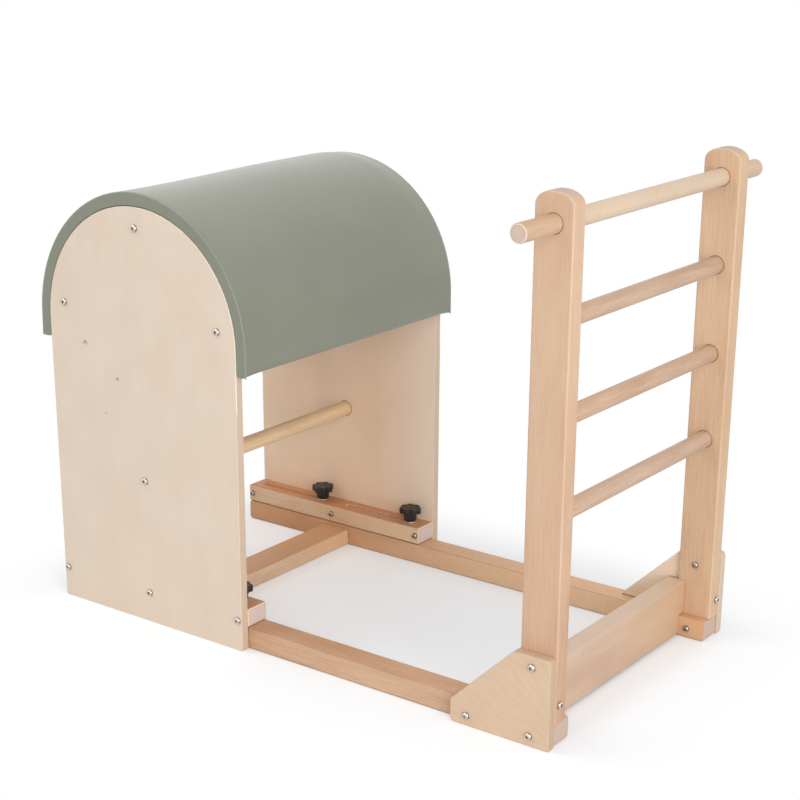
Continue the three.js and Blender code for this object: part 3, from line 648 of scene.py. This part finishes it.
RUNG_TINTS = ((0.92, 0.94, 0.97), (0.93, 0.945, 0.965), (0.92, 0.94, 0.97), (0.945, 0.965, 0.965))
RUNG_BAND = ((-0.29, 0.06), (0.32, 0.05), 0.6, (226, 206, 183))
for k, tint in enumerate(RUNG_TINTS):
    top = k == 3
    wood = beech(f"beech rung {k + 1}", "y", 60 + k, tint, lines=0.3 if top else 0.5, arched=True,
                 tone_band=RUNG_BAND if top else None, end=(222, 202, 190), rim=from_axis(RUNG_X, TOP_RUNG))
    dowel(f"ladder_rung_{k + 1}", "base", wood, 3 * MM)
# The crossbar's golden tint is partly its own tone and partly painted light, as it sits in the barrel's shade.
bar = beech("beech crossbar", "y", 71, (1.08, 1.15, 1.13), arched=True)
dowel("crossbar", "barrel", bar, 1 * MM)
print("dowels turned")

# %% [markdown]
# ## Bolts
# The bolts have low domed heads with a hexagon socket. The shank is a cylinder, and its end face is drawn up and
# in by extrude and resize, ring by ring, to follow the dome. The socket is cut with a Boolean. The same steps at
# the other end make the sleeve nut of a through bolt, which is a little smaller. One bolt of each length is modelled
# and copied to its places, with its head turned by chance as a driver leaves it.


# %% Model one bolt of each kind
DOME = ((0.3, 6.8), (0.6, 7.05), (1.8, 7.05), (2.8, 6.6), (3.7, 5.75), (4.4, 4.8), (4.8, 3.9))
HEAD_TALL = DOME[-1][0] * MM
SHANK, NUT_SHARE = 4.0, 0.92
SOCKET_RADIUS, SOCKET_CUT = 3.3 * MM, 4.6 * MM


def cut_socket(piece, height):
    bpy.ops.mesh.primitive_cylinder_add(vertices=6, radius=SOCKET_RADIUS, depth=SOCKET_CUT, location=(0, 0, height))
    cutter = start("socket")
    bpy.ops.object.mode_set(mode="OBJECT")
    add_modifier(piece, "BOOLEAN", operation="DIFFERENCE", object=cutter, solver="EXACT")
    bpy.data.objects.remove(cutter)


def model_bolt(length, through):
    """A bolt along Z, whose head stands on the plane z = 0."""
    bpy.ops.mesh.primitive_cylinder_add(vertices=40, radius=SHANK * MM, depth=length, location=(0, 0, -length / 2))
    piece = start("bolt")
    for direction, base in ((1, 0.0), (-1, -length))[:2 if through else 1]:
        pick(piece, "FACE", lambda spot, facing: facing.z * direction > 0.9 and abs(spot.z - base) < 1e-6)
        height, radius = 0, SHANK
        for level, width in DOME:
            width *= 1 if direction > 0 else NUT_SHARE
            shift = (0, 0, direction * (level - height) * MM)
            bpy.ops.mesh.extrude_region_move(TRANSFORM_OT_translate={"value": shift})
            bpy.ops.transform.resize(value=(width / radius, width / radius, 1))
            height, radius = level, width
    if not through:
        pick(piece, "EDGE", lambda spot, edge: abs(spot.z + length) < 1e-6)
        bpy.ops.mesh.bevel(offset=0.8 * MM, segments=2)
    close_up(piece, 50)
    cut_socket(piece, HEAD_TALL)
    if through:
        cut_socket(piece, -length - HEAD_TALL)
    marks = {part: piece.data.attributes.new(part, "FLOAT", "POINT").data for part in ("reach", "nut")}
    for k, vertex in enumerate(piece.data.vertices):
        marks["reach"][k].value = math.hypot(vertex.co.x, vertex.co.y) / MM
        marks["nut"][k].value = 1.0 if through and vertex.co.z < -length / 2 else 0.0
    return piece


bolt_kinds = {}


def fit_bolt(node, body, axis):
    """Copies the bolt of the right length to a solid's place: axis is the way its head points."""
    low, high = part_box(node)
    outward = Vector(axis)
    middle, size = (low + high) / 2, abs((high - low).dot(outward))
    through = "cleat_bolt" in node or "gusset_bolt" in node
    length = round((size - HEAD_TALL * (2 if through else 1)) / MM, 1)
    if (length, through) not in bolt_kinds:
        bolt_kinds[length, through] = model_bolt(length * MM, through)
    piece = copy_of(bolt_kinds[length, through], "hex_" + node)
    turn = Matrix.Rotation(random.Random(node).uniform(0, math.pi / 3), 4, "Z")
    seat = middle + outward * (size / 2 - HEAD_TALL)
    aim = outward.to_track_quat("Z", "X").to_matrix().to_4x4()
    piece.data.transform(Matrix.Translation(seat) @ aim @ turn)
    dress(piece, body, "nickel", bolt_nickel["y" if outward.x == 0 else "x"], node)


for side, sign in SIDES:
    out = (0, sign, 0)
    for place in ("rear", "top", "front"):
        fit_bolt(f"arch_bolt_{side}_{place}", "barrel", out)
    fit_bolt("crossbar_bolt_" + side, "barrel", out)
    for place in ("rear", "middle", "front"):
        fit_bolt(f"cleat_bolt_{side}_{place}", "barrel", out)
    for place in ("toe", "heel", "crest"):
        fit_bolt(f"gusset_bolt_{side}_{place}", "base", out)
    fit_bolt("upright_bolt_" + side, "base", (1, 0, 0))
for master in bolt_kinds.values():
    bpy.data.objects.remove(master)
print(len(bolt_kinds), "kinds of bolt, lengths", sorted(length for length, _ in bolt_kinds))

# %% [markdown]
# ## Clamping knobs
# Each knob is a moulded head with seven lobes on a slightly flared hub, round a steel stud. The head starts as
# a circle of many points. They are picked in groups that lie equally far into the notches, and each group is drawn
# in towards the axis, which gives the wavy outline. It is then extruded ring by ring, up over both rims and down
# into a shallow dish. The hub is joined with a Boolean, so that the two read as one moulding.


# %% Mould the knob
LOBES, RIM_POINTS = 7, 112
KNOB_RADIUS, NOTCH = 23.5 * MM, 5.0 * MM
HUB_TALL, GRIP_TALL = 17 * MM, 13 * MM
GRIP = ((0.2, 0.955), (0.6, 0.98), (1.0, 0.995), (0.8, 1.0), (7.8, 1.0), (0.8, 0.995), (0.9, 0.98), (0.6, 0.955),
        (0.3, 0.915), (0.0, 0.86), (-0.4, 0.8), (-0.2, 0.6), (0.0, 0.3))
HUB_FOOT, HUB_NECK, HUB_OVERLAP = 13.7 * MM, 14.3 * MM, 5 * MM
GRIP_START = 0.915
STUD_LONG = 60.5 * MM
CORE, CREST, THREAD = 4.2, 5.0, 1.5
KNOB_TURNS = {"near_front": 36, "near_rear": 15, "far_front": 22, "far_rear": 6}


def model_knob():
    """A knob along Z, with the foot of its hub on z = 0."""
    bpy.ops.mesh.primitive_circle_add(vertices=RIM_POINTS, radius=KNOB_RADIUS, fill_type="NGON",
                                      location=(0, 0, HUB_TALL))
    head = start("knob head")
    for step in range(1, RIM_POINTS // LOBES // 2 + 1):
        wave = 2 * math.pi * step * LOBES / RIM_POINTS
        level = math.cos(wave)
        pick(head, "VERT", lambda spot: abs(math.cos(LOBES * math.atan2(spot.y, spot.x)) - level) < 1e-3)
        share = 1 - NOTCH / KNOB_RADIUS * ((1 - level) / 2) ** 1.6
        bpy.ops.transform.resize(value=(share, share, 1), center_override=(0, 0, 0))
    bpy.ops.mesh.select_all(action="SELECT")
    width = GRIP_START
    bpy.ops.transform.resize(value=(width, width, 1), center_override=(0, 0, 0))
    for rise, wide in GRIP:
        bpy.ops.mesh.extrude_region_move(TRANSFORM_OT_translate={"value": (0, 0, rise * MM)})
        bpy.ops.transform.resize(value=(wide / width, wide / width, 1), center_override=(0, 0, 0))
        width = wide
    close_up(head, 60)
    tall = HUB_TALL + HUB_OVERLAP
    bpy.ops.mesh.primitive_cylinder_add(vertices=64, radius=HUB_FOOT, depth=tall, location=(0, 0, tall / 2))
    hub = start("knob hub")
    pick(hub, "FACE", lambda spot, facing: facing.z > 0.9)
    bpy.ops.transform.resize(value=(HUB_NECK / HUB_FOOT, HUB_NECK / HUB_FOOT, 1))
    pick(hub, "EDGE", lambda spot, edge: abs(spot.z) < 1e-6)
    bpy.ops.mesh.bevel(offset=2.6 * MM, segments=5)
    close_up(hub, 50)
    add_modifier(head, "BOOLEAN", operation="UNION", object=hub, solver="EXACT")
    bpy.data.objects.remove(hub)
    choose(head)
    bpy.ops.object.shade_smooth_by_angle(angle=math.radians(42))
    return head


def model_stud(length):
    """A threaded stud along Z whose top is at z = 0: rings are drawn in and out to make the thread."""
    tip = 0.8 * MM
    bpy.ops.mesh.primitive_cylinder_add(vertices=32, radius=CORE * MM, depth=tip,
                                        location=(0, 0, -length + tip / 2))
    stud = start("stud")
    pick(stud, "FACE", lambda spot, facing: facing.z > 0.9)
    height = length - tip
    while height > THREAD * MM:
        for scale, rise in ((CREST / CORE, 0.5), (1.0, 0.1), (CORE / CREST, 0.5), (1.0, 0.4)):
            bpy.ops.mesh.extrude_region_move(TRANSFORM_OT_translate={"value": (0, 0, rise * MM)})
            bpy.ops.transform.resize(value=(scale, scale, 1))
        height -= THREAD * MM
    bpy.ops.mesh.extrude_region_move(TRANSFORM_OT_translate={"value": (0, 0, height)})
    return close_up(stud, 25)


knob_shape, stud_shape = model_knob(), model_stud(STUD_LONG)
for side, _ in SIDES:
    for place in ("front", "rear"):
        name = f"{side}_{place}"
        low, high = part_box("knob_" + name)
        middle = (low + high) / 2
        foot = Vector((middle.x, middle.y, high.z - HUB_TALL - GRIP_TALL))
        knob = copy_of(knob_shape, "lobed_knob_" + name)
        knob.data.transform(Matrix.Translation(foot) @ Matrix.Rotation(math.radians(KNOB_TURNS[name]), 4, "Z"))
        dress(knob, "knob_" + name, "plastic", plastic, "knob_" + name)
        stud = copy_of(stud_shape, "knob_stud_" + name)
        stud.data.transform(Matrix.Translation(foot))
        dress(stud, "knob_" + name, "steel", zinc)
for master in (knob_shape, stud_shape):
    bpy.data.objects.remove(master)
print("knobs moulded")

# %% [markdown]
# ## Washers and inserts
# A flat ring is a cylinder whose two end faces are inset and then bridged through the middle. The washer's rims
# are bevelled, because they catch the light under the knob. The threaded inserts are rings too, deep in the rails.


# %% Make the rings
def ring(node, body, slot, material, bore, bevel):
    low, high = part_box(node)
    middle, size = (low + high) / 2, high - low
    bpy.ops.mesh.primitive_cylinder_add(vertices=64, radius=size.x / 2, depth=size.z, location=middle)
    piece = start("ring_" + node)
    pick(piece, "FACE", lambda spot, facing: abs(facing.z) > 0.9)
    bpy.ops.mesh.inset(thickness=size.x / 2 - bore, use_individual=True)
    bpy.ops.mesh.bridge_edge_loops()
    pick(piece, "EDGE", lambda spot, edge: abs(edge.verts[0].co.z - edge.verts[1].co.z) < 1e-6
         and edge.calc_face_angle(0) > 1)
    bpy.ops.mesh.bevel(offset=bevel, segments=3)
    close_up(piece, 40)
    return dress(piece, body, slot, material, node)


for side, _ in SIDES:
    for place in ("front", "rear"):
        name = f"{side}_{place}"
        ring("knob_washer_" + name, "washer_" + name, "nickel", nickel, 5.3 * MM, 0.35 * MM)
        ring("rail_insert_" + name, "base", "steel", zinc, 5.3 * MM, 0.3 * MM)
print("washers and inserts made")

# %% [markdown]
# ## The pad
# The pad is 24 mm of foam in a sewn vinyl cover, wrapped over the bent shell. It is a flat strip swept over the
# arch: a grid is extruded up one leg, spun half a turn over the top and extruded down the other leg, which leaves
# even quads all over. The sewn edges are bevelled and the bottom edges rolled. Then Cloth inflates the skin
# slightly while everything near the shell and the end seams stays pinned, so it bulges as stretched vinyl
# does. At last the room for the shell is cut out of its underside.


# %% Sweep the pad over the arch
pad_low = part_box("barrel_pad")[0]
shell_low, shell_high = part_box("barrel_shell")
CENTRE = Vector(((shell_low.x + shell_high.x) / 2, 0, shell_high.z - (shell_high.x - shell_low.x) / 2))
INNER, OUTER = 238.3 * MM, 262 * MM
HALF_WIDTH = 320 * MM
SEAM, LIP, SKIN = 3 * MM, 2.2 * MM, 4 * MM
FRAMES = 20
DROP = CENTRE.z - pad_low.z


def sweep_arch(name, inner, outer, half_width, drop, across, facets, leg_steps):
    """A strip between two radii, up one leg, over the arch and down the other."""
    bpy.ops.mesh.primitive_grid_add(x_subdivisions=across[0], y_subdivisions=across[1], size=1,
                                    location=(CENTRE.x + (inner + outer) / 2, 0, CENTRE.z - drop))
    bpy.context.object.scale = (outer - inner, 2 * half_width, 1)
    piece = start(name)
    bpy.ops.mesh.select_all(action="SELECT")
    for _ in range(leg_steps):
        bpy.ops.mesh.extrude_region_move(TRANSFORM_OT_translate={"value": (0, 0, drop / leg_steps)})
    bpy.ops.mesh.spin(steps=facets, angle=math.pi, center=CENTRE, axis=(0, 1, 0))
    for _ in range(leg_steps):
        bpy.ops.mesh.extrude_region_move(TRANSFORM_OT_translate={"value": (0, 0, -drop / leg_steps)})
    return piece


def radius_of(spot):
    """Distance from the arch's axis, or from its middle plane below the spring line."""
    return math.hypot(spot.x - CENTRE.x, max(spot.z - CENTRE.z, 0))


pad = sweep_arch("pad_cover", INNER, OUTER, HALF_WIDTH, DROP, (3, 66), 96, 5)
bpy.ops.mesh.select_all(action="SELECT")
bpy.ops.mesh.normals_make_consistent(inside=False)


def on_rim(spot, radius):
    return abs(abs(spot.y) - HALF_WIDTH) < 1e-5 and abs(radius_of(spot) - radius) < 0.5 * MM


def at_foot(spot, radius):
    return abs(spot.z - (CENTRE.z - DROP)) < 1e-5 and abs(radius_of(spot) - radius) < 1e-5


print(pick(pad, "EDGE", lambda spot, edge: at_foot(spot, OUTER)), "edges along the foot")
bpy.ops.mesh.bevel(offset=8 * MM, segments=4, profile=0.5)
pick(pad, "EDGE", lambda spot, edge: at_foot(spot, INNER))
bpy.ops.mesh.bevel(offset=5 * MM, segments=3, profile=0.5)
round_rim = pick(pad, "EDGE", lambda spot, edge: on_rim(spot, OUTER) and edge.calc_face_angle(0) > 1)
print(round_rim, "edges round the rim")
bpy.ops.mesh.bevel(offset=2.6 * MM, segments=3, profile=0.5)
pick(pad, "EDGE", lambda spot, edge: on_rim(spot, INNER) and edge.calc_face_angle(0) > 1)
bpy.ops.mesh.bevel(offset=1.3 * MM, segments=2, profile=0.5)
close_up(pad, 60)
print(len(pad.data.polygons), "faces in the pad")

# %% [markdown]
# Cloth needs pinned points to hold the cover where it is glued and sewn. Pressure then fills the free skin.
# The move of each point is capped, so that the skin stays taut. In the photograph the foam is fuller on top
# towards the far end and its lower corners hang a little, which is added point by point. Each end is drawn in
# near the panel's edge, which leaves a lip.


# %% Inflate the cover
def lean(spot):
    """The way straight out from the arch's axis, and how much of it points up and sideways."""
    out = Vector((spot.x - CENTRE.x, 0, max(spot.z - CENTRE.z, 0))).normalized()
    return out, max(out.z, 0), out.x


def crown(spot):
    """How far Cloth may move the skin: a little more on top than on the legs."""
    return (2.0 + 1.5 * lean(spot)[1]) * MM


def ease(value, low, high):
    share = min(max((value - low) / (high - low), 0), 1)
    return share * share * (3 - 2 * share)


def settle(spot):
    """The shape that the soft foam has taken: fuller on top towards the far end, with corners that hang a little."""
    out, top, sideways = lean(spot)
    depth = min(max((radius_of(spot) - INNER) / (OUTER - INNER), 0), 1.2)
    leg = min(max((CENTRE.z - spot.z) / DROP, 0), 1)
    near, far = (min(max(sign * spot.y / HALF_WIDTH, 0), 1) for sign in (-1, 1))
    rise = 5.2 * top * ease(spot.y, -0.24, 0.16) * (1 - 0.85 * ease(spot.y, 0.27, 0.322))
    rise += near ** 3 * (2.4 * top ** 12 - 2.8 * max(-sideways - 0.5, 0) * (1 - leg))
    rise += far ** 3 * 1.2 * max(sideways, 0)
    foot = max(1 - (spot.z - CENTRE.z + DROP) / 0.04, 0)
    corner = max(1 - (HALF_WIDTH - abs(spot.y)) / 0.045, 0) if sideways > 0 else 0
    return out * (rise * depth * MM) - Vector((0, 0, foot * corner ** 2 * 2.5 * MM))


def inflate(piece, free, cap):
    """Runs Cloth under pressure with all but the free points pinned, and caps each point's move."""
    rest = [v.co.copy() for v in piece.data.vertices]
    held = piece.vertex_groups.new(name="held")
    held.add([k for k, spot in enumerate(rest) if not free(spot)], 1.0, "REPLACE")
    cloth = piece.modifiers.new("cloth", "CLOTH")
    settings = cloth.settings
    settings.quality = 6
    settings.mass = 0.4
    settings.tension_stiffness = settings.compression_stiffness = 30
    settings.bending_stiffness = 2
    settings.vertex_group_mass = "held"
    settings.use_pressure = True
    settings.uniform_pressure_force = 14
    settings.effector_weights.gravity = 0
    cloth.point_cache.frame_end = FRAMES
    for step in range(1, FRAMES + 1):
        bpy.context.scene.frame_set(step)
    choose(piece)
    bpy.ops.object.modifier_apply(modifier="cloth")
    piece.vertex_groups.clear()
    farthest = 0
    for vertex, spot in zip(piece.data.vertices, rest):
        move = vertex.co - spot
        farthest = max(farthest, move.length)
        if move.length > cap(spot):
            vertex.co = spot + move * (cap(spot) / move.length)
    bpy.context.scene.frame_set(1)
    return farthest


moved = inflate(pad, lambda spot: radius_of(spot) > OUTER - SKIN and abs(spot.y) < HALF_WIDTH - SEAM, crown)
print("skin moved up to", round(moved / MM, 1), "mm before the cap")
for vertex in pad.data.vertices:
    spot = vertex.co
    if abs(spot.y) > HALF_WIDTH - SEAM:
        spot.y -= math.copysign(LIP * (1 - ease(radius_of(spot), INNER + 1 * MM, INNER + 12 * MM)), spot.y)
    spot += settle(spot)

# %% [markdown]
# The cover turns under the shell's edges all round, so the shell's own room is cut out of the pad a little
# larger than the shell. A welt, the thin cord sewn into the seam, runs round both outer rims. It is a small round
# section swept over the same path.

# %% Cut the shell's room and add the welts
room = sweep_arch("room", INNER - 2 * MM, INNER + 6.3 * MM, 316.3 * MM, DROP - 3.7 * MM, (1, 1), 96, 1)
close_up(room)
add_modifier(pad, "BOOLEAN", operation="DIFFERENCE", object=room, solver="EXACT")
bpy.data.objects.remove(room)
choose(pad)
bpy.ops.object.shade_smooth_by_angle(angle=math.radians(50))
dress(pad, "barrel", "vinyl", vinyl, "barrel_pad")


def welt(name, y):
    bpy.ops.mesh.primitive_circle_add(vertices=12, radius=1.5 * MM, fill_type="NGON",
                                      location=(CENTRE.x + OUTER - 1.1 * MM, y, CENTRE.z - DROP))
    piece = start(name)
    bpy.ops.mesh.select_all(action="SELECT")
    bpy.ops.mesh.extrude_region_move(TRANSFORM_OT_translate={"value": (0, 0, DROP)})
    bpy.ops.mesh.spin(steps=120, angle=math.pi, center=CENTRE, axis=(0, 1, 0))
    bpy.ops.mesh.extrude_region_move(TRANSFORM_OT_translate={"value": (0, 0, -DROP)})
    close_up(piece, 60)
    for vertex in piece.data.vertices:
        vertex.co += settle(vertex.co)
    return dress(piece, "barrel", "vinyl", welt_highlight_vinyl)


for side, sign in SIDES:
    welt("pad_welt_" + side, sign * (HALF_WIDTH - 1.3 * MM))
print("pad finished with", len(pad.data.polygons), "faces")

# %% [markdown]
# ## Floor and light
# The photograph is a white studio shot: light comes from all round, most of it from the ladder's side, and the
# floor keeps only a faint shadow. So the world is an even white with three soft lamps: a large key, a low fill
# beside it and one high on the left. Seen by the camera, the floor glows a little and fades to plain white
# away from the part.


# %% Build the studio
PATCH = (0.5, 0.3)
bpy.ops.mesh.primitive_plane_add(size=40, location=(0, 0, 0))
floor = bpy.context.object
floor.name = "studio_floor"
cover = Finish("studio floor")
spots, _ = cover.places()
away = ((abs(spots[0]) - PATCH[0]).at_least(0) ** 2 + (abs(spots[1]) - PATCH[1]).at_least(0) ** 2) ** 0.5
diffuse = cover.node("ShaderNodeBsdfDiffuse", {}, {"Color": (0.79, 0.814, 0.842)})
glow = cover.node("ShaderNodeEmission", {}, {"Color": (1, 1, 1), "Strength": 0.245})
lit = cover.node("ShaderNodeAddShader", {}, {0: diffuse, 1: glow})
white = cover.node("ShaderNodeEmission", {}, {"Color": (1, 1, 1), "Strength": 1.0})
faded = cover.node("ShaderNodeMixShader", {}, {0: away.above(0.18, 0.26), 1: lit, 2: white})
seen = cover.node("ShaderNodeLightPath", {}, {})
surface = cover.node("ShaderNodeMixShader", {}, {0: seen, 1: diffuse, 2: faded})
cover.tree.links.new(surface.output, cover.tree.nodes["Material Output"].inputs["Surface"])
cover.tree.nodes.remove(cover.shader)
floor.data.materials.append(cover.material)

world = bpy.data.worlds.new("studio")
world.use_nodes = True
sky = world.node_tree
paths = sky.nodes.new("ShaderNodeLightPath")
share = paths.outputs["Is Camera Ray"]
for ray in ("Is Glossy Ray", "Is Transmission Ray"):
    either = sky.nodes.new("ShaderNodeMath")
    either.operation = "MAXIMUM"
    sky.links.new(share, either.inputs[0])
    sky.links.new(paths.outputs[ray], either.inputs[1])
    share = either.outputs[0]
level = sky.nodes.new("ShaderNodeMapRange")
level.inputs["To Min"].default_value = 0.66
level.inputs["To Max"].default_value = 1.0
sky.links.new(share, level.inputs[0])
sky.links.new(level.outputs[0], sky.nodes["Background"].inputs["Strength"])
sky.nodes["Background"].inputs["Color"].default_value = (1, 1, 1, 1)
bpy.context.scene.world = world


def softbox(name, place, target, size, watts):
    lamp = bpy.data.objects.new(name, bpy.data.lights.new(name, "AREA"))
    lamp.data.shape, lamp.data.size, lamp.data.energy = "SQUARE", size, watts
    lamp.location = place
    lamp.rotation_euler = (Vector(target) - Vector(place)).to_track_quat("-Z", "Y").to_euler()
    bpy.context.scene.collection.objects.link(lamp)


softbox("key", (5.2, -4.4, 3.4), (0, 0, 0.4), 4.5, 165)
softbox("low fill", (5.2, -2.5, 1.0), (0, 0, 0.3), 2.5, 76)
softbox("high left", (-3.2, -1.8, 5.2), (0, 0, 0.3), 3.0, 70)
bpy.context.scene.view_settings.view_transform = "Standard"
print("studio built")
